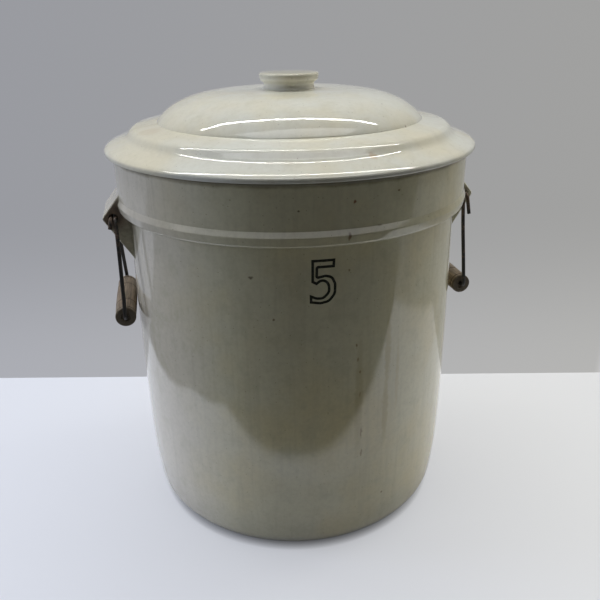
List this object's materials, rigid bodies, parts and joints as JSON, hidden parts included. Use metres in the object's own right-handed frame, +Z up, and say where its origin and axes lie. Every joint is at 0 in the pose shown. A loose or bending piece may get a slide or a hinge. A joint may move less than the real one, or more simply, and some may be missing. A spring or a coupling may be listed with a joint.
{
  "type": "lidded stoneware crock",
  "caption": "Glazed stoneware storage crock with a collar, a domed knobbed lid, and wire bails with turned wooden grips hung from moulded side ears.",
  "frame": {"origin": "middle of the flat foot, on the surface that the crock stands on", "axes": "+Z up along the crock's axis, the ears at +X and -X, the marked front towards -Y"},
  "size_m": [0.3488, 0.3342, 0.4159],
  "materials": {
    "crock_glaze": "glossy cream salt glaze with small iron specks",
    "lid_glaze": "glossy cream glaze with small iron specks",
    "iron_wire": "dark rusted wire",
    "turned_wood": "worn brown turned wood"
  },
  "bodies": {
    "crock": {"crock": "crock_glaze"},
    "lid": {"lid": "lid_glaze"},
    "left_bail": {"left_bail": "iron_wire"},
    "right_bail": {"right_bail": "iron_wire"},
    "left_grip": {"left_grip": "turned_wood"},
    "right_grip": {"right_grip": "turned_wood"}
  },
  "joints": [
    {"name": "lid_lift", "type": "slide", "parent": "crock", "child": "lid", "axis": [0, 0, 1], "range_m": [0, 0.15]},
    {"name": "left_bail_swing", "type": "hinge", "parent": "crock", "child": "left_bail", "pos_m": [-0.1651, 0, 0.3005], "axis": [0, 1, 0], "range_deg": [0, 170]},
    {"name": "right_bail_swing", "type": "hinge", "parent": "crock", "child": "right_bail", "pos_m": [0.1651, 0, 0.3005], "axis": [0, -1, 0], "range_deg": [0, 170]},
    {"name": "left_grip_spin", "type": "hinge", "parent": "left_bail", "child": "left_grip", "pos_m": [-0.16444, 0, 0.2112], "axis": [0, 1, 0], "continuous": true},
    {"name": "right_grip_spin", "type": "hinge", "parent": "right_bail", "child": "right_grip", "pos_m": [0.16444, 0, 0.2112], "axis": [0, 1, 0], "continuous": true}
  ]
}
